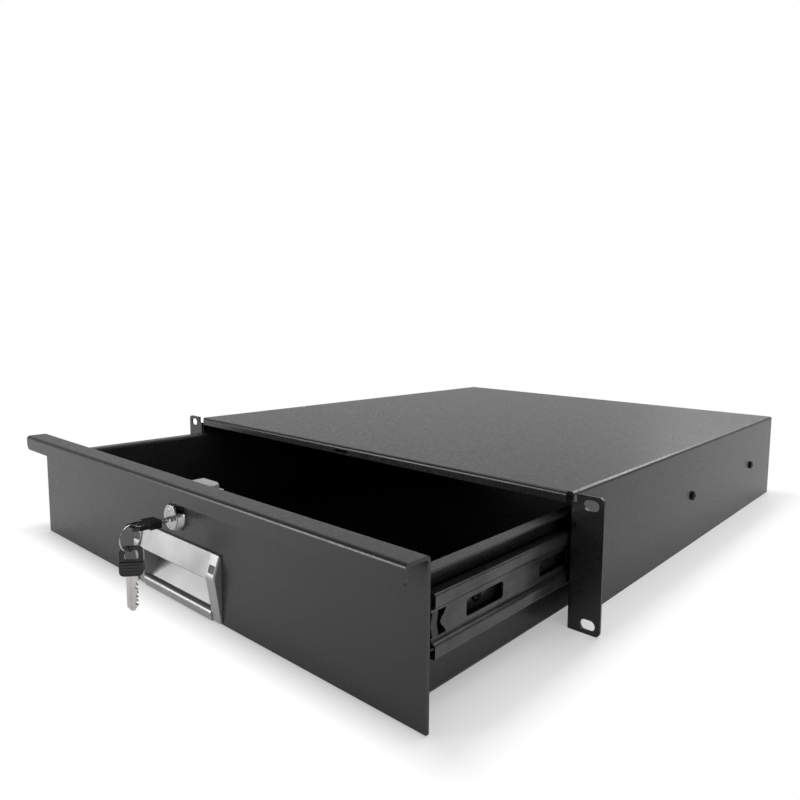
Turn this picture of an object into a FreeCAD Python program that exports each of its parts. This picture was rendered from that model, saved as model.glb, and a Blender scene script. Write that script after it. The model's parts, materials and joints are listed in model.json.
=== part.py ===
"""Lockable 2U rack drawer: steel housing, drawer on three-part ball slides, recessed handle, lock and keys.

Units are millimetres. X points right for someone facing the front, Y points back and Z points up. The
origin is the centre of the four rack slots, on the rear faces of the two ears. The drawer is drawn partly
open, with the first stage of its slides run out and the second stage still closed.
"""
import FreeCAD, Part
import math
import os

V = FreeCAD.Vector

# ---- Rack interface ----------------------------------------------------------------------------------
RACK_WIDTH = 482.6          # outside width across both ears
PANEL_HEIGHT = 88.1         # two rack units, less the usual gap
SLOT_PITCH_X = 465.1
SLOT_PITCH_Z = 76.2
SLOT_LENGTH = 10.4
SLOT_WIDTH = 6.8
EAR_CORNER = 3.5

# ---- Housing -----------------------------------------------------------------------------------------
HOUSING_WIDTH = 438.0
HOUSING_DEPTH = 450.0       # from the front of the ears to the back
COVER_DROP = 0.2            # top of the cover below the top of the ears
COVER_T = 1.5
COVER_BEND = 1.0            # inside radius of the bends
LIP_HEIGHT = 6.9            # front lip of the cover, below its top
LIP_END_GAP = 3.0           # lip end to side wall
RELIEF_WIDTH = 3.3
RELIEF_HEIGHT = 5.7
LIP_SLOT_LENGTH = 16.0
LIP_SLOT_HEIGHT = 1.8
LIP_SLOT_RISE = 1.6         # lower edge of the lip to the slot
REAR_T = 1.2
REAR_FLANGE = 12.0
FIT = 0.1                   # gap at a welded or slipped-in joint

# ---- Slides ------------------------------------------------------------------------------------------
SLIDE_LENGTH = 400.0
SLIDE_SPACE = 12.7          # housing wall to drawer wall
SLIDE_T = 1.2
SLIDE_BEND = 0.5
OUTER_HEIGHT = 45.2
OUTER_FLANGE = 10.2         # reach of the outer member from the housing wall
OUTER_LIP = 3.7
MIDDLE_GAP = 0.6            # outer web to middle member
MIDDLE_REACH = 6.7
MIDDLE_STEP = 3.0           # depth of the channel in the middle member's web
MIDDLE_CHANNEL = 18.0       # height of that channel
MIDDLE_ROUND = 1.6          # inside radius where the web steps in
MIDDLE_FOOT = 0.2           # inside radius at the foot of the step
BALL_D = 4.0
SMALL_BALL_D = 3.2
BALL_SIDES = 8
BALL_GAP = 0.15             # running gap between a ball and its raceway
CAGE_T = 0.6
CAGE_WIDTH = 4.8
CAGE_LENGTH = 150.0
BALLS_PER_ROW = 4
INNER_REACH = 7.3           # flange reach of the drawer member from the drawer wall
SLIDE_SETBACK = 17.5        # front of the panel to the front of the slides
WINDOW_LENGTH = 32.7
WINDOW_HEIGHT = 9.8
WINDOW_RADIUS = 1.6
WINDOW_FIRST = 27.7         # front end of the middle member to its first window
WINDOW_PITCH = 70.0
WINDOW_COUNT = 5
TONGUE_CUT = 11.5           # web of the middle member cut back from its front end
TONGUE_LENGTH = 6.0         # rounded tongue left standing in that cut
TONGUE_CORNERS = [1.5, 2.5, 1.5]
NOTCH_HALF = 6.6            # half the height of the cut
BUFFER_GAP = 1.4            # buffer to tongue
BUFFER_WIDTH = 4.5          # buffer along the slide
BUFFER_BULGE = 1.4          # forward curve of the buffer's edges
BUFFER_CORNERS = [1.0, 3.0, 1.0]
SLIDE_HOLES = (195.0, 362.0)      # screws into the housing, from the front of the slide
DRAWER_HOLES = (44.0, 190.0, 350.0)
DRAWER_SCREW_R = 1.75
SCREW_R = 2.0
SCREW_HEAD_R = 4.0
SCREW_HEAD_H = 2.4
SMALL_HEAD_R = 3.4
SMALL_HEAD_H = 1.9

# ---- Flats: small repeated rounds are drawn with flat sides ------------------------------------------
BEND_SIDES = 2
CORNER_SIDES = 4
HEAD_SIDES = 10
SHANK_SIDES = 6
ROUND_SIDES = 24
COLLAR_SIDES = 32

# ---- Travel ------------------------------------------------------------------------------------------
OPEN_AT_REST = 137.5        # how far the drawer stands open as drawn
PANEL_OVERLAY = 3.5         # closed panel ahead of the ears

# ---- Drawer ------------------------------------------------------------------------------------------
TRAY_T = 1.2
TRAY_BEND = 1.0
TRAY_LENGTH = 405.0
TRAY_RISE = 1.5             # tray bottom above the housing's lower edge
TRAY_TOP = 29.0             # top of the tray's side flanges
TRAY_FLANGE = 9.0
WALL_FLANGE = 11.0

# ---- Front panel -------------------------------------------------------------------------------------
FRONT_WIDTH = 452.0
FRONT_T = 2.0
FRONT_BEND = 0.6
FRONT_RISE = 1.0            # panel's lower edge above the ears' lower edge
GRIP_DEPTH = 14.5           # folded top edge, ahead of the panel
GRIP_HEIGHT = 11.5
GRIP_CORNER = 5.0
STUD_D = 4.0
STUD_INSET = 19.8           # drawer's side wall to the studs
STUD_Z = (-30.0, 18.0)
NUT_AF = 7.0
NUT_H = 3.2
STUD_END = 2.0              # stud beyond its nut

# ---- Handle ------------------------------------------------------------------------------------------
HANDLE_WIDTH = 106.4
HANDLE_HEIGHT = 44.4
HANDLE_RISE = 0.5           # handle above the panel's lower edge
HANDLE_T = 1.6
HANDLE_SWELL = 5.4          # most forward point of the handle, ahead of the panel
HANDLE_EDGE = 1.4           # thickness where it meets the panel
PLATE_DROP = 16.5           # depth of the grip plate from the handle's top
POCKET_DEPTH = 11.0         # pocket behind the panel's front
POCKET_TOP = 4.2            # handle top to the pocket's roof
POCKET_FLOOR = 5.6          # handle bottom to the pocket's floor
POCKET_SCOOP = 13.0         # height over which the pocket's back slants in to the floor
PLATE_CORNERS = [0, 0.5, 0.75, 0.75, 0, 0]
PLATE_TOE = 1.0             # grip plate ahead of the panel, at the pocket's roof
POCKET_LIP = 2.6            # bottom lip ahead of the panel
POCKET_BEND = 0.6
CAP_WIDTH = 9.0
CAP_WALL = 2.0
CAP_WALL_TOE = 2.5          # flat stretch at the bottom of the wall
CAP_BEVEL = 0.8
CAP_PLUG = 6.4              # plug across the cap
CAP_PLUG_HEIGHT = 4.8
CAP_PLUG_T = 0.8
HANDLE_SCREW_D = 3.0
HANDLE_HEAD_R = 2.7
HANDLE_HEAD_H = 1.8
CAP_PEAK_DROP = 14.0        # handle top to the most forward point of the caps
CAP_PLUG_DROP = 9.0         # handle top to the middle of the cap plugs
CAP_SWELL = 5.9
CAP_CORNERS = [0, 0.6, 6.0, 0.6, 0]
CAP_SCREW_DROP = 17.0       # handle top to the upper screws
CAP_SCREW_RISE = 9.0        # handle bottom to the lower screws
CUTOUT_GAP = 0.5
OPENING_CORNER = 2.0

# ---- Lock --------------------------------------------------------------------------------------------
LOCK_Z = 16.4
PLUG_DROP = 1.6             # plug axis below the lock's centre
LOCK_HEAD_R = 8.6
LOCK_SHANK_R = 7.9
LOCK_HEAD = 4.9             # lock face ahead of the panel
TRIM_R = 10.65
TRIM_H = 4.2
TRIM_EDGE = 0.6             # straight edge of the collar before it tapers
TRIM_FRONT_R = 9.0
TRIM_FLAT = 8.4             # lock centre to the flats above and below the collar
TRIM_BORE_R = 8.65
TRIM_SEAT = 1.0             # rim of the collar, clamped between lock head and panel
LOCK_EDGE = 0.4             # bevel round the lock's face
LENS_WIDTH = 7.6            # lens-shaped recess above the plug
LENS_HEIGHT = 2.2
LENS_Z = 22.2
LENS_R = 6.0
LENS_DEPTH = 0.3
PLUG_HEAD_R = 5.5
PLUG_R = 4.9
SHAFT_GAP = 0.05
LOCK_REACH = 20.0           # lock barrel behind the panel's front
LOCK_NUT_AF = 19.0
LOCK_NUT_H = 3.5
CASE_WALL = 3.0
CASE_FRONT = 1.5
CASE_TOP = 32.0
CASE_CORNER = 3.0
CASE_COVER_T = 1.5
CASE_SCREW_R = 0.9
CASE_HEAD_R = 1.45
CASE_HEAD_H = 1.0
CASE_SCREW_LENGTH = 5.0
CASE_SCREW_DROP = 5.0       # top of the case to its screws
BOLT_WIDTH = 22.4
BOLT_DEPTH = 16.0
BOLT_T = 1.5
BOLT_BEND = 1.0
BOLT_TOP = 36.3
BOLT_BOTTOM = 6.0
BOLT_GAP = 0.15
BOLT_TRAVEL = 5.6
PIN_D = 3.0
PIN_SLOT_GAP = 0.25
DRIVE_DISC_T = 1.5

# ---- Keys --------------------------------------------------------------------------------------------
KEY_X = -1.0                # the keyway lies off the plug's axis
BOW_LENGTH = 19.2
BOW_WIDTH = 14.5
BOW_T = 4.4
BOW_CORNER = 4.2
BOW_SHOULDER = 3.0          # corner radius at the blade
BOW_EYE_T = 2.2             # the bow is thinner around its eye
BOW_EYE = (8.4, 6.9)        # eye across and along the key
BOW_EYE_CORNER = 2.0
BOW_WEB = 2.2               # material outside the eye
GROOVE_COUNT = 4
GROOVE_FIRST = 1.9          # eye to the first finger groove
GROOVE_PITCH = 2.1
GROOVE_WIDTH = 0.9
GROOVE_DEPTH = 0.4
GROOVE_INSET = 1.5          # groove ends to the bow's sides
BLADE_T = 1.8
BLADE_WIDTH = 7.0
BLADE_LENGTH = 23.5         # blade beyond the bow
BLADE_SHOWING = 7.2         # between the plug's face and the bow
BLADE_IN_BOW = 9.0
BLADE_POINT = 3.0           # length of the pointed end
BLADE_TIP = 1.6             # width of the tip
KEYWAY_GAP = 0.12
RING_R = 8.9
RING_T = 1.1
RING_WIDTH = 1.6
RING_TURN = 109.0           # direction of the ring, from across the key to along it
RING_SIDES = 28
RING_GAP = 0.3              # play of the ring in the bows
SPARE_TURN = -40.0          # direction in which the spare key faces

# ---- Derived places ----------------------------------------------------------------------------------
SIDE_X = HOUSING_WIDTH / 2
WALL_X = SIDE_X - COVER_T
TRAY_X = WALL_X - SLIDE_SPACE
BASE_Z = -PANEL_HEIGHT / 2
TOP_Z = PANEL_HEIGHT / 2
COVER_TOP = TOP_Z - COVER_DROP
ROOF_Z = COVER_TOP - COVER_T
EAR_FRONT = -COVER_T
BACK_Y = EAR_FRONT + HOUSING_DEPTH
PANEL_CLOSED_Y = EAR_FRONT - PANEL_OVERLAY
FRONT_Y = PANEL_CLOSED_Y - OPEN_AT_REST
OUTER_Y = PANEL_CLOSED_Y + SLIDE_SETBACK
MIDDLE_Y = OUTER_Y - OPEN_AT_REST
TRAY_FRONT_Y = FRONT_Y + FRONT_T
TRAY_BASE_Z = BASE_Z + TRAY_RISE
FRONT_BASE_Z = BASE_Z + FRONT_RISE
HANDLE_BASE_Z = FRONT_BASE_Z + HANDLE_RISE
HANDLE_TOP_Z = HANDLE_BASE_Z + HANDLE_HEIGHT
PLUG_Z = LOCK_Z - PLUG_DROP

OUTER_FLANGE_Z = OUTER_HEIGHT / 2
BALL_R = BALL_D / 2
SMALL_BALL_R = SMALL_BALL_D / 2
BALL_Z = OUTER_FLANGE_Z - SLIDE_T - BALL_GAP - BALL_R
MIDDLE_Z = BALL_Z - BALL_R - BALL_GAP
SMALL_BALL_Z = MIDDLE_Z - SLIDE_T - BALL_GAP - SMALL_BALL_R
INNER_Z = SMALL_BALL_Z - SMALL_BALL_R - BALL_GAP
MIDDLE_T0 = SLIDE_T + MIDDLE_GAP
BALL_T = MIDDLE_T0 + MIDDLE_REACH / 2 - 0.15
SMALL_BALL_T = MIDDLE_T0 + MIDDLE_REACH - SLIDE_T

CASE_Y = TRAY_FRONT_Y + TRAY_T
LOCK_NUT_Y = CASE_Y + CASE_FRONT
BOLT_FRONT_Y = LOCK_NUT_Y + LOCK_NUT_H + 2 * BOLT_GAP
BOLT_BACK_Y = BOLT_FRONT_Y + BOLT_DEPTH
COVER_Y = BOLT_BACK_Y + BOLT_GAP
PIN_ARM = BOLT_TRAVEL / (2 * math.sin(math.radians(45)))


# ---- Shape helpers -----------------------------------------------------------------------------------
def place(plane, u, v, w):
    """Put plane coordinates u, v and the height w above the plane into space."""
    if plane == "XY":
        return V(u, v, w)
    if plane == "XZ":
        return V(u, w, v)
    return V(w, u, v)


def corner_arc(before, at, after, radius):
    """Centre, start and end of the arc that rounds the corner at the point in the middle."""
    to_before = (before - at).normalize()
    to_after = (after - at).normalize()
    half = to_before.getAngle(to_after) / 2
    inward = (to_before + to_after).normalize()
    reach = radius / math.tan(half)
    return at + inward * (radius / math.sin(half)), at + to_before * reach, at + to_after * reach


def arc_spots(centre, start, end, count):
    """Points along the shorter arc from start to end, both included."""
    radius = (start - centre).Length
    spots = []
    for i in range(count + 1):
        share = i / count
        toward = (start - centre) * math.sin((1 - share) * (start - centre).getAngle(end - centre))
        toward += (end - centre) * math.sin(share * (start - centre).getAngle(end - centre))
        spots.append(centre + toward.normalize() * radius)
    return spots


def face(points, radii=0.0, plane="XZ", level=0.0, flats=0):
    """A flat face inside a closed outline. Corners are rounded by arcs, or by the given number of flats."""
    count = len(points)
    if not isinstance(radii, (list, tuple)):
        radii = [radii] * count
    corners = [place(plane, u, v, level) for u, v in points]
    edges = []
    ends = []
    for i in range(count):
        if radii[i] == 0:
            ends.append((corners[i], corners[i]))
            continue
        centre, start, end = corner_arc(corners[i - 1], corners[i], corners[(i + 1) % count], radii[i])
        ends.append((start, end))
        if flats:
            spots = arc_spots(centre, start, end, flats)
            edges += [Part.LineSegment(a, b).toShape() for a, b in zip(spots, spots[1:])]
        else:
            edges.append(Part.Arc(start, arc_spots(centre, start, end, 2)[1], end).toShape())
    for i in range(count):
        start = ends[i][1]
        end = ends[(i + 1) % count][0]
        if start.distanceToPoint(end) > 1e-6:
            edges.append(Part.LineSegment(start, end).toShape())
    return Part.Face(Part.Wire(Part.__sortEdges__(edges)))


def prism(points, low, high, radii=0.0, plane="XZ", flats=0):
    """An outline drawn in a plane and pushed from one level to another."""
    return face(points, radii, plane, low, flats).extrude(place(plane, 0, 0, high - low))


def rectangle(u0, u1, v0, v1):
    return [(u0, v0), (u1, v0), (u1, v1), (u0, v1)]


def block(x0, x1, y0, y1, z0, z1):
    return Part.makeBox(x1 - x0, y1 - y0, z1 - z0, V(x0, y0, z0))


def rod(radius, start, end):
    """A round bar between two points."""
    along = end - start
    return Part.makeCylinder(radius, along.Length, start, along)


def hexagon(across, start, end):
    """A hexagonal bar along Y."""
    radius = across / math.sqrt(3)
    angles = [math.radians(60 * i) for i in range(6)]
    points = [(start.x + radius * math.cos(a), start.z + radius * math.sin(a)) for a in angles]
    return prism(points, start.y, end.y)


def bent_sheet(path, thickness, bend, low, high, plane="XZ", flats=0):
    """Sheet metal folded along a centre line, with one inside radius for all bends, or one for each."""
    points = [V(u, v, 0) for u, v in path]
    legs = [(points[i + 1] - points[i]).normalize() for i in range(len(points) - 1)]
    bends = bend if isinstance(bend, (list, tuple)) else [bend] * (len(points) - 2)
    sides = []
    for sign in (1, -1):
        side = []
        for i, point in enumerate(points):
            before = legs[max(i - 1, 0)]
            after = legs[min(i, len(legs) - 1)]
            normal_before = V(-before.y, before.x, 0)
            normal_after = V(-after.y, after.x, 0)
            mitre = (normal_before + normal_after) * (1 / (1 + normal_before.dot(normal_after)))
            turn = before.cross(after).z * sign
            radius = 0.0
            if 0 < i < len(points) - 1:
                radius = bends[i - 1] if turn > 0 else bends[i - 1] + thickness
            spot = point + mitre * (sign * thickness / 2)
            side.append(((spot.x, spot.y), radius))
        sides.append(side)
    outline = sides[0] + sides[1][::-1]
    spots = [spot for spot, radius in outline]
    return prism(spots, low, high, [radius for spot, radius in outline], plane, flats)


def slot(x, z, length, width, y0, y1, flats=0):
    """A round-ended slot cutter along X."""
    return prism(rectangle(x - length / 2, x + length / 2, z - width / 2, z + width / 2), y0, y1,
                 width / 2 - 0.001, "XZ", flats)


def faceted(profile, sides, start, axis):
    """A turned shape with flat sides, from (radius, distance along the axis) pairs."""
    along = V(axis).normalize()
    across = V(0, 0, 1) if abs(along.z) < 0.5 else V(1, 0, 0)
    upward = along.cross(across)
    rings = []
    for radius, distance in profile:
        centre = start + along * distance
        if radius == 0:
            rings.append([centre] * sides)
            continue
        angles = [2 * math.pi * (i + 0.5) / sides for i in range(sides)]
        rings.append([centre + (across * math.cos(a) + upward * math.sin(a)) * radius for a in angles])
    faces = []
    for near, far in zip(rings, rings[1:]):
        for i in range(sides):
            corners = [near[i - 1], near[i], far[i], far[i - 1]]
            spots = [spot for k, spot in enumerate(corners) if spot.distanceToPoint(corners[k - 1]) > 1e-6]
            faces.append(Part.Face(Part.makePolygon(spots + [spots[0]])))
    for ring, (radius, distance) in ((rings[0], profile[0]), (rings[-1], profile[-1])):
        if radius > 0:
            faces.append(Part.Face(Part.makePolygon(ring + [ring[0]])))
    solid = Part.makeSolid(Part.makeShell(faces))
    if solid.Volume < 0:
        solid.reverse()
    return solid


def faceted_hole(radius, sides, start, end):
    """Cutter with flat sides, all of them at least the radius away from its axis."""
    along = end - start
    corner = radius / math.cos(math.pi / sides)
    return faceted([(corner, 0), (corner, along.Length)], sides, start, along)


def mirrored(shape):
    return shape.mirror(V(0, 0, 0), V(1, 0, 0))


def both_sides(shape):
    return [shape, mirrored(shape)]


def fuse(shapes):
    joined = shapes[0].multiFuse(shapes[1:]) if len(shapes) > 1 else shapes[0]
    return joined.removeSplitter()


def row(count, first, pitch):
    return [first + i * pitch for i in range(count)]


# ---- Housing -----------------------------------------------------------------------------------------
def housing_cover():
    """Top, sides, ears and front lip, folded from one sheet."""
    mid_x = SIDE_X - COVER_T / 2
    mid_z = COVER_TOP - COVER_T / 2
    mid_y = -COVER_T / 2
    shell = bent_sheet([(-mid_x, BASE_Z), (-mid_x, mid_z), (mid_x, mid_z), (mid_x, BASE_Z)],
                       COVER_T, COVER_BEND, COVER_BEND, BACK_Y)
    lip = bent_sheet([(COVER_BEND, mid_z), (mid_y, mid_z), (mid_y, COVER_TOP - LIP_HEIGHT)],
                     COVER_T, COVER_BEND, LIP_END_GAP - WALL_X, WALL_X - LIP_END_GAP, "YZ")
    fold = bent_sheet([(mid_x, COVER_BEND), (mid_x, mid_y), (SIDE_X + RELIEF_WIDTH, mid_y)],
                      COVER_T, COVER_BEND, BASE_Z, TOP_Z - RELIEF_HEIGHT, "XY")
    ear = prism(rectangle(SIDE_X + RELIEF_WIDTH, RACK_WIDTH / 2, BASE_Z, TOP_Z), EAR_FRONT, 0,
                [0, EAR_CORNER, EAR_CORNER, 0])
    cover = fuse([shell, lip] + both_sides(fold) + both_sides(ear))
    cuts = []
    for side in (-1, 1):
        for level in (-1, 1):
            cuts.append(slot(side * SLOT_PITCH_X / 2, level * SLOT_PITCH_Z / 2, SLOT_LENGTH, SLOT_WIDTH,
                             EAR_FRONT - 1, 1))
        for along in SLIDE_HOLES:
            cuts.append(faceted_hole(SCREW_R + FIT, SHANK_SIDES, V(side * (WALL_X - 1), OUTER_Y + along, 0),
                                     V(side * (SIDE_X + 1), OUTER_Y + along, 0)))
    slot_z = COVER_TOP - LIP_HEIGHT + LIP_SLOT_RISE + LIP_SLOT_HEIGHT / 2
    cuts.append(slot(0, slot_z, LIP_SLOT_LENGTH, LIP_SLOT_HEIGHT, EAR_FRONT - 1, 1))
    return cover.cut(cuts)


def flanged_plate(half, low, high, y, inward, thickness, flange, top_flange):
    """A plate standing across Y, with flanges turned along Y at its sides, bottom and perhaps top."""
    bend = COVER_BEND
    relief = thickness + bend + FIT
    outer = y + inward * thickness / 2
    far = y + inward * flange
    edge = half - thickness / 2
    side_high = high - relief if top_flange else high
    side = bent_sheet([(edge, far), (edge, outer), (half - flange, outer)],
                      thickness, bend, low + relief, side_high, "XY", BEND_SIDES)
    rims = [(low, 1)]
    if top_flange:
        rims.append((high, -1))
    pieces = both_sides(side)
    for rim, turn in rims:
        middle = rim + turn * thickness / 2
        pieces.append(bent_sheet([(far, middle), (outer, middle), (outer, rim + turn * flange)],
                                 thickness, bend, relief - half, half - relief, "YZ", BEND_SIDES))
    y0, y1 = sorted((y, y + inward * thickness))
    pieces.append(block(relief - half, half - relief, y0, y1, low + relief, side_high))
    return fuse(pieces)


def housing_rear_panel():
    """Back plate with flanges welded inside the cover."""
    return flanged_plate(WALL_X - FIT, BASE_Z, ROOF_Z - FIT, BACK_Y, -1, REAR_T, REAR_FLANGE, True)


# ---- Slides, drawn for the right side ----------------------------------------------------------------
def slide_member(path, front_y, bends=SLIDE_BEND):
    """A rolled section, given as (distance from the housing wall, height) pairs."""
    section = [(WALL_X - t, z) for t, z in path]
    return bent_sheet(section, SLIDE_T, bends, front_y, front_y + SLIDE_LENGTH, flats=CORNER_SIDES)


def slide_outer():
    lip_t = OUTER_FLANGE - SLIDE_T / 2
    flange_z = OUTER_FLANGE_Z - SLIDE_T / 2
    lip_z = OUTER_FLANGE_Z - OUTER_LIP
    path = [(lip_t, lip_z), (lip_t, flange_z), (SLIDE_T / 2, flange_z)]
    path += [(t, -z) for t, z in path[::-1]]
    member = slide_member(path, OUTER_Y)
    holes = [faceted_hole(SCREW_R + FIT, SHANK_SIDES, V(WALL_X - SLIDE_T - 1, OUTER_Y + along, 0),
                          V(WALL_X + 1, OUTER_Y + along, 0)) for along in SLIDE_HOLES]
    return member.cut(holes)


def slide_middle():
    """Double channel: raceways above and below, and a stepped web with windows and a tongue at its front."""
    band_t = MIDDLE_T0 + SLIDE_T / 2
    flange_z = MIDDLE_Z - SLIDE_T / 2
    channel_z = MIDDLE_CHANNEL / 2
    path = [(MIDDLE_T0 + MIDDLE_REACH, flange_z), (band_t, flange_z), (band_t, channel_z),
            (band_t + MIDDLE_STEP, channel_z)]
    path += [(t, -z) for t, z in path[::-1]]
    bends = [SLIDE_BEND, MIDDLE_ROUND, MIDDLE_FOOT]
    member = slide_member(path, MIDDLE_Y, bends + bends[::-1])
    cuts = []
    for start in row(WINDOW_COUNT, MIDDLE_Y + WINDOW_FIRST, WINDOW_PITCH):
        cuts.append(prism(rectangle(start, start + WINDOW_LENGTH, -WINDOW_HEIGHT / 2, WINDOW_HEIGHT / 2),
                          TRAY_X, WALL_X, WINDOW_RADIUS, "YZ", BEND_SIDES))
    notch = [(MIDDLE_Y - 1, -NOTCH_HALF)] + waved(MIDDLE_Y + TONGUE_CUT) + [(MIDDLE_Y - 1, NOTCH_HALF)]
    web_x = WALL_X - MIDDLE_T0 - MIDDLE_STEP
    corners = [0, 0] + TONGUE_CORNERS + [0, 0]
    cuts.append(prism(notch, web_x - SLIDE_T - FIT, web_x + FIT, corners, "YZ", BEND_SIDES))
    return member.cut(cuts)


def waved(y):
    """Points of an edge with a tongue standing forward at mid height, from bottom to top."""
    half = NOTCH_HALF
    return [(y, -half), (y - TONGUE_LENGTH / 3, -half / 2), (y - TONGUE_LENGTH, 0),
            (y - TONGUE_LENGTH / 3, half / 2), (y, half)]


def slide_inner():
    web_t = SLIDE_SPACE - SLIDE_T / 2
    flange_z = INNER_Z - SLIDE_T / 2
    path = [(SLIDE_SPACE - INNER_REACH, flange_z), (web_t, flange_z)]
    path += [(t, -z) for t, z in path[::-1]]
    member = slide_member(path, MIDDLE_Y)
    holes = [faceted_hole(DRAWER_SCREW_R + FIT, SHANK_SIDES, V(TRAY_X - 1, MIDDLE_Y + along, 0),
                          V(TRAY_X + SLIDE_T + 1, MIDDLE_Y + along, 0)) for along in DRAWER_HOLES]
    return member.cut(holes)


def ball_places(middle_y, t, z):
    pitch = CAGE_LENGTH / BALLS_PER_ROW
    return [V(WALL_X - t, y, side * z) for side in (-1, 1)
            for y in row(BALLS_PER_ROW, middle_y - CAGE_LENGTH / 2 + pitch / 2, pitch)]


def balls(middle_y, t, z, radius):
    belt = radius * math.sqrt(0.5)
    profile = [(0, -radius), (belt, -belt), (radius, 0), (belt, belt), (0, radius)]
    return Part.makeCompound([faceted(profile, BALL_SIDES, spot, V(0, 1, 0))
                              for spot in ball_places(middle_y, t, z)])


def ball_cages(middle_y, t, z, radius):
    """An upper and a lower strip, with a pocket for every ball."""
    strips = []
    pocket = radius + BALL_GAP
    for side in (-1, 1):
        strip = block(WALL_X - t - CAGE_WIDTH / 2, WALL_X - t + CAGE_WIDTH / 2,
                      middle_y - CAGE_LENGTH / 2, middle_y + CAGE_LENGTH / 2,
                      side * z - CAGE_T / 2, side * z + CAGE_T / 2)
        pockets = [block(spot.x - pocket, spot.x + pocket, spot.y - pocket, spot.y + pocket,
                         spot.z - 1, spot.z + 1)
                   for spot in ball_places(middle_y, t, z) if spot.z * side > 0]
        strips.append(strip.cut(pockets))
    return Part.makeCompound(strips)


def slide_buffer():
    """Plastic buffer across the drawer member's channel, its edges curved forward ahead of the tongue."""
    back = MIDDLE_Y + TONGUE_CUT - TONGUE_LENGTH - BUFFER_GAP
    rear = [(back + BUFFER_BULGE, -NOTCH_HALF), (back, 0), (back + BUFFER_BULGE, NOTCH_HALF)]
    front = [(y - BUFFER_WIDTH, z) for y, z in rear[::-1]]
    outside = WALL_X - MIDDLE_T0 - MIDDLE_STEP
    behind = outside - SLIDE_T - 2 * BALL_GAP
    head = prism(rear + front, behind, outside, BUFFER_CORNERS + BUFFER_CORNERS, "YZ", BEND_SIDES)
    half = INNER_Z - SLIDE_T - SLIDE_BEND
    foot = block(TRAY_X + SLIDE_T, behind, MIDDLE_Y, back, -half, half)
    return fuse([head, foot])


def screw(radius, head_radius, head_height, length, start, direction):
    """Screw seated at the start point, its head along the direction and its shank against it."""
    head = faceted([(head_radius, 0), (head_radius, head_height / 2), (head_radius * 0.7, head_height)],
                   HEAD_SIDES, start, direction)
    shank = faceted([(radius, 0), (radius, length)], SHANK_SIDES, start, -direction)
    return fuse([head, shank])


def slide_mounting_screws():
    """Screws from outside the housing into the outer members."""
    length = COVER_T + SLIDE_T + MIDDLE_GAP / 2
    shapes = []
    for along in SLIDE_HOLES:
        start = V(SIDE_X, OUTER_Y + along, 0)
        shapes += both_sides(screw(SCREW_R, SCREW_HEAD_R, SCREW_HEAD_H, length, start, V(1, 0, 0)))
    return Part.makeCompound(shapes)


def slide_drawer_screws():
    """Screws through the drawer members into the tray's sides."""
    shapes = []
    for along in DRAWER_HOLES:
        start = V(TRAY_X + SLIDE_T, MIDDLE_Y + along, 0)
        length = SLIDE_T + TRAY_T + 1
        shapes += both_sides(screw(DRAWER_SCREW_R, SMALL_HEAD_R, SMALL_HEAD_H, length, start, V(1, 0, 0)))
    return Part.makeCompound(shapes)


# ---- Drawer ------------------------------------------------------------------------------------------
def drawer_tray():
    """Bottom and sides from one sheet, with flanges turned out over the slides."""
    mid_x = TRAY_X - TRAY_T / 2
    low = TRAY_BASE_Z + TRAY_T / 2
    high = TRAY_TOP - TRAY_T / 2
    path = [(TRAY_X + TRAY_FLANGE, high), (mid_x, high), (mid_x, low)]
    path += [(-x, z) for x, z in path[::-1]]
    tray = bent_sheet(path, TRAY_T, TRAY_BEND, TRAY_FRONT_Y, TRAY_FRONT_Y + TRAY_LENGTH, flats=BEND_SIDES)
    holes = []
    for side in (-1, 1):
        for along in DRAWER_HOLES:
            start = V(side * (TRAY_X - TRAY_T - 1), MIDDLE_Y + along, 0)
            end = start + V(side * (TRAY_T + 2), 0, 0)
            holes.append(faceted_hole(DRAWER_SCREW_R + FIT, SHANK_SIDES, start, end))
    return tray.cut(holes)


def tray_end_wall(y, inward):
    """An end wall of the tray, with flanges welded to the sides and the bottom."""
    return flanged_plate(TRAY_X - TRAY_T - FIT, TRAY_BASE_Z + TRAY_T + FIT, TRAY_TOP, y, inward, TRAY_T,
                         WALL_FLANGE, False)


def handle_opening(grow, y0, y1):
    half = HANDLE_WIDTH / 2 - CAP_WIDTH + CAP_WALL + grow
    low = HANDLE_BASE_Z + POCKET_FLOOR - HANDLE_T - grow
    high = HANDLE_TOP_Z - POCKET_TOP + HANDLE_T + grow
    return prism(rectangle(-half, half, low, high), y0, y1, OPENING_CORNER, "XZ", BEND_SIDES)


def stud_places():
    return [(side * (TRAY_X - STUD_INSET), z) for side in (-1, 1) for z in STUD_Z]


def plate_holes(y0, y1):
    """Cutters for the lock and the handle screws."""
    cuts = [faceted_hole(LOCK_SHANK_R + FIT, ROUND_SIDES, V(0, y0, LOCK_Z), V(0, y1, LOCK_Z))]
    for x, z in handle_screw_places():
        cuts.append(faceted_hole(HANDLE_SCREW_D / 2 + FIT, SHANK_SIDES, V(x, y0, z), V(x, y1, z)))
    return cuts


def drawer_front_wall():
    y0 = TRAY_FRONT_Y - 1
    y1 = TRAY_FRONT_Y + TRAY_T + 1
    studs = [faceted_hole(STUD_D / 2 + FIT, SHANK_SIDES, V(x, y0, z), V(x, y1, z)) for x, z in stud_places()]
    cuts = [handle_opening(CUTOUT_GAP, y0, y1)] + plate_holes(y0, y1) + studs
    return tray_end_wall(TRAY_FRONT_Y, 1).cut(cuts)


def drawer_back_wall():
    return tray_end_wall(TRAY_FRONT_Y + TRAY_LENGTH, -1)


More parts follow.
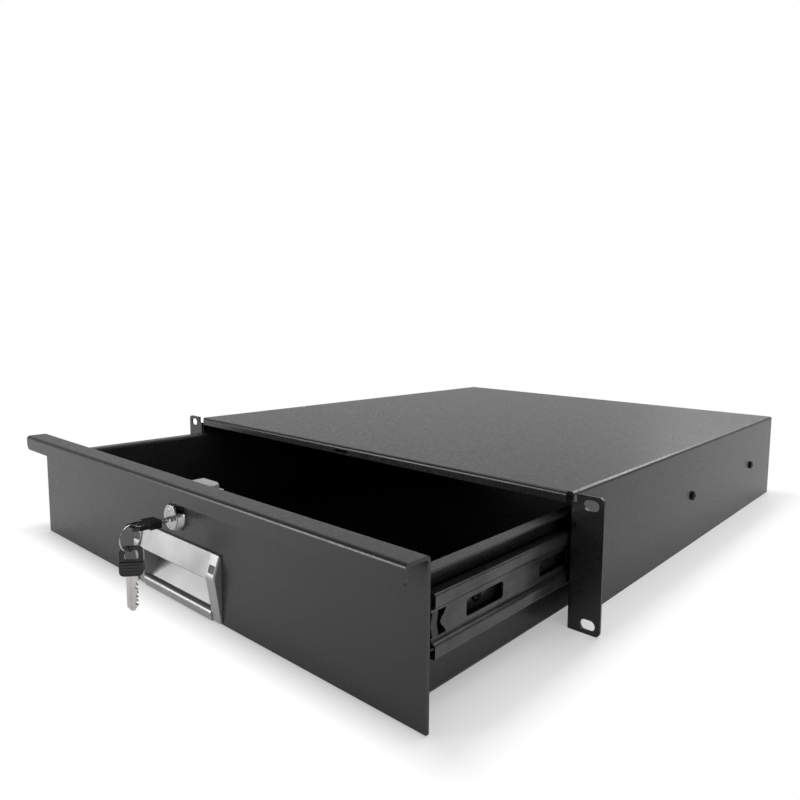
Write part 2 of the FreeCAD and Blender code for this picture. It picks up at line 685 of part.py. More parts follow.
def front_panel():
    """Panel folded forward and down along its top edge, with weld studs behind."""
    mid = FRONT_Y + FRONT_T / 2
    top = TOP_Z - FRONT_T / 2
    nose = FRONT_Y - GRIP_DEPTH + FRONT_T / 2
    panel = bent_sheet([(mid, FRONT_BASE_Z), (mid, top), (nose, top), (nose, TOP_Z - GRIP_HEIGHT)],
                       FRONT_T, FRONT_BEND, -FRONT_WIDTH / 2, FRONT_WIDTH / 2, "YZ")
    half = FRONT_WIDTH / 2
    lip_front = FRONT_Y - GRIP_DEPTH
    keep = prism(rectangle(-half, half, TOP_Z - GRIP_HEIGHT, TOP_Z + GRIP_HEIGHT), lip_front - 1,
                 lip_front + FRONT_T + 1, [GRIP_CORNER, GRIP_CORNER, 0, 0])
    trim = block(-half - 1, half + 1, lip_front - 1, lip_front + FRONT_T + 1,
                 TOP_Z - GRIP_HEIGHT - 1, TOP_Z - GRIP_HEIGHT + GRIP_CORNER).cut(keep)
    back = FRONT_Y + FRONT_T
    y0 = FRONT_Y - 1
    y1 = back + 1
    reach = TRAY_T + NUT_H + STUD_END
    studs = [faceted([(STUD_D / 2, 0), (STUD_D / 2, reach)], SHANK_SIDES, V(x, back, z), V(0, 1, 0))
             for x, z in stud_places()]
    return fuse([panel.cut([trim, handle_opening(CUTOUT_GAP, y0, y1)] + plate_holes(y0, y1))] + studs)


def panel_nuts():
    y = TRAY_FRONT_Y + TRAY_T
    nuts = []
    for x, z in stud_places():
        nut = hexagon(NUT_AF, V(x, y, z), V(x, y + NUT_H, z))
        nuts.append(nut.cut(faceted_hole(STUD_D / 2 + SHAFT_GAP, SHANK_SIDES, V(x, y - 1, z),
                                         V(x, y + NUT_H + 1, z))))
    return Part.makeCompound(nuts)


# ---- Handle ------------------------------------------------------------------------------------------
def forward(depth):
    """Y of a point the given distance ahead of the panel's front."""
    return FRONT_Y - depth


def handle_shell():
    """One extrusion: a slanted grip plate over a scooped pocket with a bottom lip."""
    half = HANDLE_WIDTH / 2 - CAP_WIDTH
    skin = HANDLE_T / 2
    plate_low = HANDLE_TOP_Z - PLATE_DROP
    roof = HANDLE_TOP_Z - POCKET_TOP
    floor = HANDLE_BASE_Z + POCKET_FLOOR
    plate = prism([(forward(0), HANDLE_TOP_Z), (forward(HANDLE_EDGE), HANDLE_TOP_Z),
                   (forward(HANDLE_SWELL), plate_low), (forward(HANDLE_SWELL - HANDLE_T), plate_low),
                   (forward(PLATE_TOE), roof), (forward(0), roof)], -half, half, PLATE_CORNERS, "YZ")
    pocket = bent_sheet([(forward(0.5), roof - skin), (forward(-POCKET_DEPTH), roof - skin),
                         (forward(-POCKET_DEPTH), floor + POCKET_SCOOP), (forward(-1.5), floor + skin),
                         (forward(POCKET_LIP), floor + skin), (forward(1.2), HANDLE_BASE_Z)],
                        HANDLE_T, POCKET_BEND, -half, half, "YZ")
    return fuse([plate, pocket])


def cap_face(x, inset):
    """Side outline of a cap at the given X, drawn in from its front by the inset."""
    peak_z = HANDLE_TOP_Z - CAP_PEAK_DROP
    edge = forward(HANDLE_EDGE - inset / 2)
    top = HANDLE_TOP_Z - inset
    bottom = HANDLE_BASE_Z + inset
    outline = [(forward(0), top), (edge, top), (forward(CAP_SWELL - inset), peak_z), (edge, bottom),
               (forward(0), bottom)]
    return face(outline, CAP_CORNERS, "YZ", x, CORNER_SIDES)


def handle_cap():
    """Right-hand end cap: a wedge over the panel and a wall that closes the pocket's end."""
    outer = HANDLE_WIDTH / 2
    inner = outer - CAP_WIDTH
    wedge = cap_face(inner, 0).extrude(V(CAP_WIDTH - CAP_BEVEL, 0, 0))
    ends = [cap_face(outer - CAP_BEVEL, 0).OuterWire, cap_face(outer, CAP_BEVEL).OuterWire]
    bevel = Part.makeLoft(ends, True, True)
    low = HANDLE_BASE_Z + POCKET_FLOOR - HANDLE_T + CUTOUT_GAP
    high = HANDLE_TOP_Z - POCKET_TOP
    rear = forward(-POCKET_DEPTH - HANDLE_T / 2)
    outline = [(forward(0), high), (rear, high), (rear, low + POCKET_SCOOP), (forward(-CAP_WALL_TOE), low),
               (forward(0), low)]
    wall = prism(outline, inner, inner + CAP_WALL, [0, 1, 1, 1, 0], "YZ", BEND_SIDES)
    bore = HANDLE_SCREW_D / 2 + SHAFT_GAP
    holes = [faceted_hole(bore, SHANK_SIDES, V(x, forward(1), z), V(x, forward(-1), z))
             for x, z in handle_screw_places() if x > 0]
    return fuse([wedge, bevel, wall]).cut(holes + [cap_plug(0)])


def cap_plug(gap):
    """Rectangular cover let into the front of the cap."""
    x = HANDLE_WIDTH / 2 - CAP_WIDTH / 2
    half = CAP_PLUG / 2 - gap
    slope = (CAP_SWELL - HANDLE_EDGE) / CAP_PEAK_DROP
    tall = CAP_PLUG_HEIGHT / 2 - gap
    plug = block(x - half, x + half, -0.2, CAP_PLUG_T - gap, -tall, tall)
    plug.rotate(V(x, 0, 0), V(1, 0, 0), -math.degrees(math.atan(slope)))
    plug.translate(V(0, forward(HANDLE_EDGE + slope * CAP_PLUG_DROP), HANDLE_TOP_Z - CAP_PLUG_DROP))
    return plug


def handle_cap_plugs():
    return Part.makeCompound(both_sides(cap_plug(FIT / 2)))


def handle_screw_places():
    x = HANDLE_WIDTH / 2 - CAP_WIDTH / 2 + CAP_WALL / 2
    heights = (HANDLE_TOP_Z - CAP_SCREW_DROP, HANDLE_BASE_Z + CAP_SCREW_RISE)
    return [(side * x, z) for side in (-1, 1) for z in heights]


def handle_screws():
    """Screws from inside the drawer into the handle's caps."""
    start_y = TRAY_FRONT_Y + TRAY_T
    return Part.makeCompound([screw(HANDLE_SCREW_D / 2, HANDLE_HEAD_R, HANDLE_HEAD_H, start_y - forward(0.9),
                                    V(x, start_y, z), V(0, 1, 0)) for x, z in handle_screw_places()])


# ---- Lock --------------------------------------------------------------------------------------------
def lock_trim_ring():
    """Tapered collar round the lock's head, cut flat above and below and clamped by its inner rim."""
    centre = V(0, FRONT_Y, LOCK_Z)
    profile = [(TRIM_FRONT_R, -TRIM_H), (TRIM_R, -TRIM_EDGE), (TRIM_R, 0)]
    collar = faceted(profile, COLLAR_SIDES, centre, V(0, 1, 0))
    recess = faceted_hole(TRIM_BORE_R, COLLAR_SIDES, centre - V(0, TRIM_H + 1, 0),
                          centre - V(0, TRIM_SEAT, 0))
    rim = faceted_hole(LOCK_SHANK_R + SHAFT_GAP, ROUND_SIDES, centre - V(0, TRIM_H, 0), centre + V(0, 1, 0))
    between = block(-TRIM_R - 1, TRIM_R + 1, forward(TRIM_H + 1), forward(-1), LOCK_Z - TRIM_FLAT,
                    LOCK_Z + TRIM_FLAT)
    return collar.cut([recess, rim]).common(between)


def lock_body():
    """Head, threaded barrel and an off-centre bore for the plug."""
    face_y = forward(LOCK_HEAD)
    head = faceted([(LOCK_HEAD_R - LOCK_EDGE, -LOCK_HEAD), (LOCK_HEAD_R, LOCK_EDGE - LOCK_HEAD),
                    (LOCK_HEAD_R, -TRIM_SEAT)], COLLAR_SIDES, V(0, FRONT_Y, LOCK_Z), V(0, 1, 0))
    barrel = faceted([(LOCK_SHANK_R, -TRIM_SEAT - 1), (LOCK_SHANK_R, LOCK_REACH)], ROUND_SIDES,
                     V(0, FRONT_Y, LOCK_Z), V(0, 1, 0))
    bore = faceted_hole(PLUG_R + SHAFT_GAP, ROUND_SIDES, V(0, face_y - 1, PLUG_Z),
                        V(0, forward(-LOCK_REACH - 1), PLUG_Z))
    mouth = rod(PLUG_HEAD_R + SHAFT_GAP, V(0, forward(TRIM_SEAT), PLUG_Z), V(0, face_y - 1, PLUG_Z))
    return fuse([head, barrel]).cut([bore, mouth, lock_lens(face_y)])


def lock_lens(face_y):
    """Shallow lens-shaped recess above the plug."""
    corner = LENS_WIDTH / 2
    low = LENS_Z - LENS_HEIGHT / 2
    outline = [(-corner, LENS_Z), (0, low), (corner, LENS_Z), (0, LENS_Z + LENS_HEIGHT / 2)]
    return prism(outline, face_y - 1, face_y + LENS_DEPTH, [0, LENS_R, 0, LENS_R], "XZ", CORNER_SIDES)


def lock_nut():
    """Nut that clamps the lock, its case and the front wall together."""
    start = LOCK_NUT_Y
    nut = hexagon(LOCK_NUT_AF, V(0, start, LOCK_Z), V(0, start + LOCK_NUT_H, LOCK_Z))
    return nut.cut(faceted_hole(LOCK_SHANK_R + SHAFT_GAP, ROUND_SIDES, V(0, start - 1, LOCK_Z),
                                V(0, start + LOCK_NUT_H + 1, LOCK_Z)))


def lock_plug():
    """Plug with its keyway, rear drive disc and eccentric pin."""
    face_y = forward(LOCK_HEAD) + FIT
    disc_y = forward(-LOCK_REACH) + BALL_GAP
    head = rod(PLUG_HEAD_R, V(0, face_y, PLUG_Z), V(0, forward(TRIM_SEAT) - FIT, PLUG_Z))
    shank = faceted([(PLUG_R, 0), (PLUG_R, disc_y - face_y)], ROUND_SIDES, V(0, face_y, PLUG_Z), V(0, 1, 0))
    disc = faceted([(PLUG_HEAD_R, 0), (PLUG_HEAD_R, DRIVE_DISC_T)], ROUND_SIDES, V(0, disc_y, PLUG_Z),
                   V(0, 1, 0))
    arm = PIN_ARM * math.sin(math.radians(45))
    pin = faceted([(PIN_D / 2, 0), (PIN_D / 2, BOLT_BACK_Y - FIT - disc_y)], HEAD_SIDES,
                  V(arm, disc_y, PLUG_Z - arm), V(0, 1, 0))
    half = BLADE_WIDTH / 2 + KEYWAY_GAP
    depth = BLADE_LENGTH - BLADE_SHOWING + BLADE_POINT / 2
    keyway = block(KEY_X - half, KEY_X + half, face_y - 1, face_y + depth, PLUG_Z - BLADE_T / 2 - KEYWAY_GAP,
                   PLUG_Z + BLADE_T / 2 + KEYWAY_GAP)
    return fuse([head, shank, disc, pin]).cut(keyway)


def case_outline():
    half = BOLT_WIDTH / 2 + BOLT_GAP + CASE_WALL
    low = BOLT_BOTTOM - BOLT_GAP - CASE_WALL / 2
    return rectangle(-half, half, low, CASE_TOP), [CASE_CORNER, CASE_CORNER, 0, 0]


def lock_case():
    """Die-cast case behind the wall, open at the top for the bolt and at the back for its cover."""
    outline, corners = case_outline()
    half = BOLT_WIDTH / 2 + BOLT_GAP
    body = prism(outline, CASE_Y, COVER_Y, corners, "XZ", BEND_SIDES)
    cavity = block(-half, half, LOCK_NUT_Y, COVER_Y + 1, BOLT_BOTTOM - BOLT_GAP, CASE_TOP + 1)
    hole = faceted_hole(LOCK_SHANK_R + SHAFT_GAP, ROUND_SIDES, V(0, CASE_Y - 1, LOCK_Z),
                        V(0, LOCK_NUT_Y + 1, LOCK_Z))
    return body.cut([cavity, hole] + case_screw_holes(CASE_SCREW_LENGTH))


def case_screw_places():
    x = BOLT_WIDTH / 2 + BOLT_GAP + CASE_WALL / 2
    return [V(side * x, COVER_Y + CASE_COVER_T, CASE_TOP - CASE_SCREW_DROP) for side in (-1, 1)]


def case_screw_holes(depth):
    bore = CASE_SCREW_R + SHAFT_GAP
    return [faceted_hole(bore, SHANK_SIDES, spot + V(0, 1, 0), spot - V(0, depth + FIT, 0))
            for spot in case_screw_places()]


def lock_case_cover():
    outline, corners = case_outline()
    plate = prism(outline, COVER_Y, COVER_Y + CASE_COVER_T, corners, "XZ", BEND_SIDES)
    return plate.cut(case_screw_holes(CASE_SCREW_LENGTH))


def lock_case_screws():
    return Part.makeCompound([screw(CASE_SCREW_R, CASE_HEAD_R, CASE_HEAD_H, CASE_SCREW_LENGTH, spot,
                                    V(0, 1, 0)) for spot in case_screw_places()])


def lock_bolt():
    """Folded bolt over the lock barrel, its rear web with a cross slot for the plug's pin."""
    edge = BOLT_WIDTH / 2 - BOLT_T / 2
    top = BOLT_TOP - BOLT_T / 2
    path = [(-edge, BOLT_BOTTOM), (-edge, top), (edge, top), (edge, BOLT_BOTTOM)]
    cap = bent_sheet(path, BOLT_T, BOLT_BEND, BOLT_FRONT_Y, BOLT_BACK_Y, flats=BEND_SIDES)
    web_y = BOLT_BACK_Y - BOLT_T
    web = block(-edge, edge, web_y, BOLT_BACK_Y, BOLT_BOTTOM, top)
    arm = PIN_ARM * math.sin(math.radians(45))
    width = PIN_D + 2 * PIN_SLOT_GAP
    left = arm - width / 2
    right = PIN_ARM + width / 2 + PIN_SLOT_GAP
    guide = slot((left + right) / 2, PLUG_Z - arm, right - left, width, web_y - 1, BOLT_BACK_Y + 1,
                 CORNER_SIDES)
    return fuse([cap, web]).cut(guide)


# ---- Keys --------------------------------------------------------------------------------------------
# A key is drawn lying flat, its blade towards +Y and the tip of its bow at the origin.
def flat_key_bow():
    """Plastic bow: thick and ridged near the blade, thinner around the eye."""
    half = BOW_WIDTH / 2
    bow = prism(rectangle(-half, half, 0, BOW_LENGTH), -BOW_T / 2, BOW_T / 2,
                [BOW_CORNER, BOW_CORNER, BOW_SHOULDER, BOW_SHOULDER], "XY", CORNER_SIDES)
    eye_end = BOW_WEB + BOW_EYE[1]
    cuts = [prism(rectangle(-BOW_EYE[0] / 2, BOW_EYE[0] / 2, BOW_WEB, eye_end), -BOW_T, BOW_T,
                  BOW_EYE_CORNER, "XY", BEND_SIDES)]
    for side in (-1, 1):
        face_z = side * BOW_T / 2
        thin = sorted((face_z, side * BOW_EYE_T / 2))
        cuts.append(block(-BOW_WIDTH, BOW_WIDTH, -1, eye_end + BOW_WEB / 2, thin[0], thin[1]))
        groove = sorted((face_z, face_z - side * GROOVE_DEPTH))
        for y in row(GROOVE_COUNT, eye_end + GROOVE_FIRST, GROOVE_PITCH):
            cuts.append(block(GROOVE_INSET - half, half - GROOVE_INSET, y, y + GROOVE_WIDTH,
                              groove[0], groove[1]))
    return bow.cut(cuts + [flat_key_blade(FIT / 2)])


def flat_key_blade(grow=0.0):
    """Blade with a pointed end; its tang is moulded into the bow."""
    start = BOW_LENGTH - BLADE_IN_BOW - grow
    end = BOW_LENGTH + BLADE_LENGTH
    half = BLADE_WIDTH / 2 + grow
    tip = BLADE_TIP / 2 + grow
    outline = [(-half, start), (half, start), (half, end - BLADE_POINT), (tip, end), (-tip, end),
               (-half, end - BLADE_POINT)]
    return prism(outline, -BLADE_T / 2 - grow, BLADE_T / 2 + grow, 0.0, "XY")


def at_lock(shape):
    """Put a flat key into the plug, its blade level."""
    moved = shape.copy()
    moved.translate(V(KEY_X, key_tip_y(), PLUG_Z))
    return moved


def key_tip_y():
    """Front end of the bow of the key in the lock."""
    return forward(LOCK_HEAD) + FIT - BLADE_SHOWING - BOW_LENGTH


def ring_place():
    """Centre of the key ring, which hangs round the middle of the bow's end web."""
    half_chord = BOW_WEB / 2 / math.sin(math.radians(RING_TURN))
    reach = RING_R - RING_T
    drop = math.sqrt(reach ** 2 - half_chord ** 2)
    return V(KEY_X, key_tip_y() + BOW_WEB / 2, PLUG_Z + BOW_EYE_T / 2 + RING_GAP - drop)


def key_ring():
    """Split ring, drawn as a flat band."""
    band = [(RING_R, -RING_WIDTH / 2), (RING_R, RING_WIDTH / 2)]
    hole = [(RING_R - RING_T, -RING_WIDTH), (RING_R - RING_T, RING_WIDTH)]
    ring = faceted(band, RING_SIDES, V(0, 0, 0), V(0, 1, 0))
    ring = ring.cut(faceted(hole, RING_SIDES, V(0, 0, 0), V(0, 1, 0)))
    ring.rotate(V(0, 0, 0), V(0, 0, 1), RING_TURN)
    ring.translate(ring_place())
    return ring


def hanging(shape):
    """Hang a flat key on the ring, blade down."""
    moved = shape.copy()
    moved.rotate(V(0, 0, 0), V(1, 0, 0), -90)
    moved.rotate(V(0, 0, 0), V(0, 0, 1), SPARE_TURN + 90)
    bottom = ring_place() - V(0, 0, RING_R - RING_T)
    moved.translate(bottom + V(0, 0, RING_GAP + BOW_WEB))
    return moved


# ---- Assembly ----------------------------------------------------------------------------------------
def build():
    outer_cage_y = OUTER_Y + SLIDE_LENGTH / 2 - OPEN_AT_REST / 2
    inner_cage_y = MIDDLE_Y + SLIDE_LENGTH / 2
    nodes = {
        "housing_cover": housing_cover(),
        "housing_rear_panel": housing_rear_panel(),
        "slide_mounting_screws": slide_mounting_screws(),
        "slide_drawer_screws": slide_drawer_screws(),
        "drawer_tray": drawer_tray(),
        "drawer_front_wall": drawer_front_wall(),
        "drawer_back_wall": drawer_back_wall(),
        "front_panel": front_panel(),
        "panel_nuts": panel_nuts(),
        "handle_shell": handle_shell(),
        "handle_cap_right": handle_cap(),
        "handle_cap_left": mirrored(handle_cap()),
        "handle_cap_plugs": handle_cap_plugs(),
        "handle_screws": handle_screws(),
        "lock_trim_ring": lock_trim_ring(),
        "lock_body": lock_body(),
        "lock_nut": lock_nut(),
        "lock_plug": lock_plug(),
        "lock_case": lock_case(),
        "lock_case_cover": lock_case_cover(),
        "lock_case_screws": lock_case_screws(),
        "lock_bolt": lock_bolt(),
        "key_blade": at_lock(flat_key_blade()),
        "key_bow": at_lock(flat_key_bow()),
        "key_ring": key_ring(),
        "spare_key_blade": hanging(flat_key_blade()),
        "spare_key_bow": hanging(flat_key_bow()),
    }
    pairs = {
        "slide_outer": slide_outer(),
        "slide_middle": slide_middle(),
        "slide_inner": slide_inner(),
        "slide_buffer": slide_buffer(),
        "outer_balls": balls(outer_cage_y, BALL_T, BALL_Z, BALL_R),
        "outer_ball_cage": ball_cages(outer_cage_y, BALL_T, BALL_Z, BALL_R),
        "inner_balls": balls(inner_cage_y, SMALL_BALL_T, SMALL_BALL_Z, SMALL_BALL_R),
        "inner_ball_cage": ball_cages(inner_cage_y, SMALL_BALL_T, SMALL_BALL_Z, SMALL_BALL_R),
    }
    for name, shape in pairs.items():
        nodes[name + "_right"] = shape
        nodes[name + "_left"] = mirrored(shape)
    return nodes


os.makedirs("parts", exist_ok=True)
for node, shape in build().items():
    shape.exportStep("parts/" + node + ".step")
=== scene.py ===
"""Studio scene for a lockable rack drawer: finishes, small parts, lamps and a camera."""
import json
import math

import bmesh
import bpy
from mathutils import Matrix, Vector

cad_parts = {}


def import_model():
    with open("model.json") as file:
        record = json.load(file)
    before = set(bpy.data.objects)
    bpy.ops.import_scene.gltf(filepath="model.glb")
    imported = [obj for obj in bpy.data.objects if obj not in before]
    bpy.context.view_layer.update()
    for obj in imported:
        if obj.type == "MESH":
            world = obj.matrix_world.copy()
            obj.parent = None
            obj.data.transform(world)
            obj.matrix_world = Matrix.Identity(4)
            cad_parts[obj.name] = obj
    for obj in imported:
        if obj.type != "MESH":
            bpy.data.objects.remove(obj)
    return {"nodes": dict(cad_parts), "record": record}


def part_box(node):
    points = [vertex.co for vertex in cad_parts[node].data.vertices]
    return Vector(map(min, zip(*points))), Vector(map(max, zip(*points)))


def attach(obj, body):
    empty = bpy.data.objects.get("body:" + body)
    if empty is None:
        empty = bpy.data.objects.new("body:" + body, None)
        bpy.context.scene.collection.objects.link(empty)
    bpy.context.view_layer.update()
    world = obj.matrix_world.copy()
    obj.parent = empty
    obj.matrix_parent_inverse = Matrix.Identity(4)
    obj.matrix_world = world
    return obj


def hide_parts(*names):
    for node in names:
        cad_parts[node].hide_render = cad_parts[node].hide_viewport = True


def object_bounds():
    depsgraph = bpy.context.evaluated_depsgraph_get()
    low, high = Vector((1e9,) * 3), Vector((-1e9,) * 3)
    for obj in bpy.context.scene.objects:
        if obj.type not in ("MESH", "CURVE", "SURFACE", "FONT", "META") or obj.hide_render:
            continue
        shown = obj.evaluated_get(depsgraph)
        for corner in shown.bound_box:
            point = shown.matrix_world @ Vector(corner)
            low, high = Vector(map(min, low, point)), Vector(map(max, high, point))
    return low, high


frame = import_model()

NODES = frame["nodes"]
MM = 0.001
cad_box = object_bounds()


# ---- Materials -----------------------------------------------------------------------------------
NOISE_RANGE = (0.3, 0.7)    # most of a noise texture's values lie between these


class Shader:
    """A node material that grows from a Principled shader."""

    def __init__(self, name):
        self.material = bpy.data.materials.new(name)
        self.material.use_nodes = True
        self.tree = self.material.node_tree
        self.principled = self.tree.nodes["Principled BSDF"]
        self.place = self.add("ShaderNodeTexCoord").outputs["Object"]

    def add(self, kind, **settings):
        node = self.tree.nodes.new(kind)
        for key, value in settings.items():
            setattr(node, key, value)
        return node

    def link(self, source, target):
        self.tree.links.new(source, target)

    def set(self, **values):
        for key, value in values.items():
            self.principled.inputs[key.replace("_", " ")].default_value = value
        return self

    def scaled(self, stretch):
        mapping = self.add("ShaderNodeMapping")
        mapping.inputs["Scale"].default_value = stretch
        self.link(self.place, mapping.inputs["Vector"])
        return mapping.outputs["Vector"]

    def noise(self, scale, detail=2.0, rough=0.5, stretch=None):
        node = self.add("ShaderNodeTexNoise")
        node.inputs["Scale"].default_value = scale
        node.inputs["Detail"].default_value = detail
        node.inputs["Roughness"].default_value = rough
        self.link(self.scaled(stretch) if stretch else self.place, node.inputs["Vector"])
        return node.outputs["Fac"]

    def spread(self, factor, low, high, source=NOISE_RANGE):
        """A factor stretched from its source range to low and high, and clamped to them."""
        node = self.add("ShaderNodeMapRange")
        for key, value in zip(("From Min", "From Max", "To Min", "To Max"), (*source, low, high)):
            node.inputs[key].default_value = value
        self.link(factor, node.inputs["Value"])
        return node.outputs["Result"]

    def ramp(self, factor, dark, light):
        node = self.add("ShaderNodeValToRGB")
        for element, position, colour in zip(node.color_ramp.elements, NOISE_RANGE, (dark, light)):
            element.position = position
            element.color = (*colour, 1)
        self.link(factor, node.inputs["Fac"])
        return node.outputs["Color"]

    def bump(self, heights):
        """Bumps laid over one another: (height output, depth in metres, strength)."""
        normal = None
        for height, depth, strength in heights:
            node = self.add("ShaderNodeBump")
            node.inputs["Distance"].default_value = depth
            node.inputs["Strength"].default_value = strength
            self.link(height, node.inputs["Height"])
            if normal:
                self.link(normal, node.inputs["Normal"])
            normal = node.outputs["Normal"]
        self.link(normal, self.principled.inputs["Normal"])

    def to(self, socket, output):
        self.link(output, self.principled.inputs[socket])

    def calculate(self, kind, operation, *operands):
        """Put outputs and constants through one math node, and give its outputs."""
        node = self.add(kind, operation=operation)
        for operand, socket in zip(operands, node.inputs):
            if isinstance(operand, bpy.types.NodeSocket):
                self.link(operand, socket)
            else:
                socket.default_value = operand
        return node.outputs

    def number(self, operation, *operands):
        return self.calculate("ShaderNodeMath", operation, *operands)["Value"]

    def vector(self, operation, *operands):
        return self.calculate("ShaderNodeVectorMath", operation, *operands)["Vector"]


def grey(value, warm=0.0):
    """A grey with red raised and blue lowered by the share warm."""
    return (value * (1 + warm), value, value * (1 - warm))


def powder_coat():
    """Black paint with the fine orange peel of a baked powder."""
    shader = Shader("powder_coat").set(Specular_IOR_Level=0.5)
    shader.to("Base Color", shader.ramp(shader.noise(14, 3), grey(0.006), grey(0.010)))
    shader.to("Roughness", shader.spread(shader.noise(420, 2), 0.26, 0.36))
    shader.bump([(shader.noise(620, 2, 0.55), 0.00012, 0.34), (shader.noise(1700, 1), 0.00005, 0.2)])
    return shader.material


def slide_steel():
    """Dark plated strip, with its rolling marks along Y."""
    shader = Shader("slide_steel").set(Metallic=0.85)
    shader.to("Base Color", shader.ramp(shader.noise(60, 4), grey(0.060), grey(0.105)))
    shader.to("Roughness", shader.spread(shader.noise(260, 3, 0.6, (1, 0.08, 1)), 0.24, 0.38))
    shader.bump([(shader.noise(900, 2, 0.5, (1, 0.05, 1)), 0.00002, 0.25)])
    return shader.material


def plated(name, low, high, rough, warm=0.0, strength=0.12):
    """Bare or plated metal, between a low and a high grey."""
    shader = Shader(name).set(Metallic=1.0)
    shader.to("Base Color", shader.ramp(shader.noise(180, 3), grey(low, warm), grey(high, warm)))
    shader.to("Roughness", shader.spread(shader.noise(900, 2), rough * 0.8, rough * 1.25))
    shader.bump([(shader.noise(900, 2), 0.00002, strength)])
    return shader.material


def satin_aluminium():
    """Anodised extrusion, brushed along X."""
    shader = Shader("satin_aluminium").set(Metallic=0.9)
    shader.to("Base Color", shader.ramp(shader.noise(40, 3), grey(0.34), grey(0.42)))
    shader.to("Roughness", shader.spread(shader.noise(700, 2, 0.5, (0.05, 1, 1)), 0.34, 0.44))
    shader.bump([(shader.noise(1500, 2, 0.5, (0.04, 1, 1)), 0.00002, 0.18)])
    return shader.material


def moulded(name, low, high, rough):
    """Plastic with a fine moulded grain."""
    shader = Shader(name).set(Specular_IOR_Level=0.5)
    shader.to("Base Color", shader.ramp(shader.noise(120, 3), grey(low), grey(high)))
    shader.to("Roughness", shader.spread(shader.noise(900, 2), rough * 0.85, rough * 1.2))
    shader.bump([(shader.noise(1600, 2), 0.00003, 0.2)])
    return shader.material


FINISH = {
    "powder_coat": powder_coat(),
    "slide_steel": slide_steel(),
    "zinc": plated("zinc_plate", 0.42, 0.56, 0.30),
    "black_zinc": plated("black_zinc", 0.010, 0.020, 0.36),
    "ball_steel": plated("ball_steel", 0.60, 0.70, 0.12, strength=0.03),
    "cage_steel": plated("cage_steel", 0.38, 0.50, 0.30),
    "buffer_plastic": moulded("buffer_plastic", 0.010, 0.018, 0.42),
    "plug_chrome": plated("dark_chrome", 0.07, 0.12, 0.18),
    "handle_aluminium": satin_aluminium(),
    "lock_chrome": plated("lock_chrome", 0.40, 0.50, 0.13, strength=0.05),
    "lock_zinc": plated("lock_zinc", 0.50, 0.62, 0.34),
    "key_nickel": plated("key_nickel", 0.52, 0.62, 0.22, warm=0.02),
    "key_plastic": moulded("key_plastic", 0.006, 0.012, 0.16),
}

SLOT_OF = {part["node"]: part["material_slot"] for part in frame["record"]["subparts"]}
for name, node in NODES.items():
    node.data.materials.clear()
    node.data.materials.append(FINISH[SLOT_OF[name]])


# ---- Pieces ----------------------------------------------------------------------------------------
SMOOTH_BELOW = math.radians(32)     # flatter edges are shaded smooth
SHARP_ABOVE = math.radians(34)      # sharper edges of a CAD piece are broken
FLAT_BELOW = math.radians(0.5)      # faces that meet at less lie in one plane
WELD = 0.001 * MM                   # corners closer than this are one
CIRCLE = 2 * math.pi
UP = Vector((0, 0, 1))
X, Y = 0, 1

HEAD_HEIGHT = {
    "slide_mounting_screws": 2.4 * MM,
    "slide_drawer_screws": 1.9 * MM,
    "handle_screws": 1.8 * MM,
    "lock_case_screws": 1.0 * MM,
}
HEAD_SIDES = 40
SHANK_SIDES = 24
THREAD_CORE = 0.86                  # of the shank's radius
THREAD_PITCH = 0.35                 # of the shank's radius
RECESS_REACH = 0.56                 # of the head's radius
RECESS_HALF = 0.13                  # of the head's radius
RECESS_FLOORS = (0.35, 0.34)        # of the head's height, one for each slit
RECESS_TAPER = 0.55
RECESS_TURN = math.radians(20)
RECESS_TURN_ALONG = 7.0             # radians for each metre, so that the recesses don't all line up

BODY_OF = {node: body for body, nodes in frame["record"]["behaviour"]["bodies"].items() for node in nodes}
JOINTS = {joint["name"]: joint for joint in frame["record"]["behaviour"]["joints"]}


def box(node):
    """Lowest and highest corners of a CAD node, as vectors."""
    return tuple(Vector(corner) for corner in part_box(node))


def make_object(name, mesh):
    """Turn a bmesh, which is used up, into an object of the scene."""
    data = bpy.data.meshes.new(name)
    mesh.to_mesh(data)
    mesh.free()
    thing = bpy.data.objects.new(name, data)
    bpy.context.scene.collection.objects.link(thing)
    return thing


def absorb(whole, part):
    """Add one bmesh, which is used up, to another."""
    data = bpy.data.meshes.new("part")
    part.to_mesh(data)
    part.free()
    whole.from_mesh(data)
    bpy.data.meshes.remove(data)


def dress(name, mesh, node, slot=None):
    """Turn a bmesh into the piece that stands for a node and rides on the node's body."""
    slot = slot or SLOT_OF[node]
    bmesh.ops.recalc_face_normals(mesh, faces=mesh.faces)
    piece = make_object(name, mesh)
    piece.data.shade_smooth()
    piece.data.set_sharp_from_angle(angle=SMOOTH_BELOW)
    piece.data.materials.append(FINISH[slot])
    piece.modifiers.new("flat_faces", "WEIGHTED_NORMAL").keep_sharp = True
    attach(piece, BODY_OF[node])
    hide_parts(node)


def welded(node):
    """A copy of a node's mesh with shared corners."""
    mesh = bmesh.new()
    mesh.from_mesh(NODES[node].data)
    bmesh.ops.remove_doubles(mesh, verts=mesh.verts, dist=WELD)
    return mesh


def softened(node, width, segments=2):
    """A CAD piece with its sharp edges broken, so that they catch the light as real ones do."""
    mesh = welded(node)
    bmesh.ops.dissolve_limit(mesh, angle_limit=FLAT_BELOW, verts=mesh.verts, edges=mesh.edges)
    sharp = [edge for edge in mesh.edges
             if len(edge.link_faces) == 2 and edge.calc_face_angle(0) > SHARP_ABOVE]
    bmesh.ops.bevel(mesh, geom=sharp, offset=width, segments=segments, profile=0.5, affect="EDGES",
                    clamp_overlap=True)
    dress(node + "_dressed", mesh, node)


